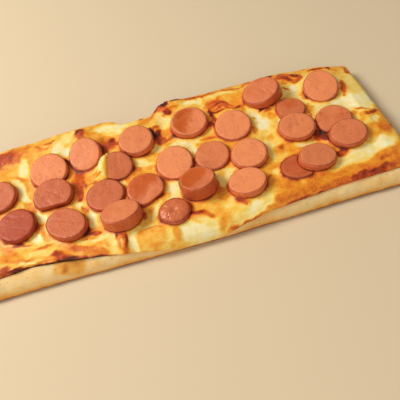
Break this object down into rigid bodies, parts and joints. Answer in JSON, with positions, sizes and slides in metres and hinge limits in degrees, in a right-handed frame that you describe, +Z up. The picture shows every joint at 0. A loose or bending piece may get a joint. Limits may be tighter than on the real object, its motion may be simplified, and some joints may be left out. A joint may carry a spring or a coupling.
{
  "type": "rectangular pizza with sausage slices",
  "caption": "Long flat rectangular pizza: a baked crust slab under browned cheese that hangs over its edges, topped with round sausage slices sunk in the cheese.",
  "frame": {"origin": "under the middle of the pizza, on the surface that it rests on", "axes": "+X along the long side, +Y from the front edge to the back edge, +Z up out of the topping"},
  "size_m": [0.306, 0.1192, 0.0249],
  "materials": {
    "crust": "baked dough, dry and matt, pale tan with browner patches",
    "cheese": "melted cheese, cream to golden with orange-brown and burnt patches, a little oily",
    "sausage": "cut frankfurter, pinkish orange-brown, darker at the rim, a little oily"
  },
  "bodies": {
    "root": {"crust": "crust", "cheese": "cheese", "sausage_slice_01": "sausage", "sausage_slice_02": "sausage", "sausage_slice_03": "sausage", "sausage_slice_04": "sausage", "sausage_slice_05": "sausage", "sausage_slice_06": "sausage", "sausage_slice_07": "sausage", "sausage_slice_08": "sausage", "sausage_slice_09": "sausage", "sausage_slice_10": "sausage", "sausage_slice_11": "sausage", "sausage_slice_12": "sausage", "sausage_slice_13": "sausage", "sausage_slice_14": "sausage", "sausage_slice_15": "sausage", "sausage_slice_16": "sausage", "sausage_slice_17": "sausage", "sausage_slice_18": "sausage", "sausage_slice_19": "sausage", "sausage_slice_20": "sausage", "sausage_slice_21": "sausage", "sausage_slice_22": "sausage", "sausage_slice_23": "sausage", "sausage_slice_24": "sausage", "sausage_slice_25": "sausage", "sausage_slice_26": "sausage", "sausage_slice_27": "sausage", "sausage_slice_28": "sausage", "sausage_slice_29": "sausage", "sausage_slice_30": "sausage", "sausage_end": "sausage"}
  },
  "joints": []
}
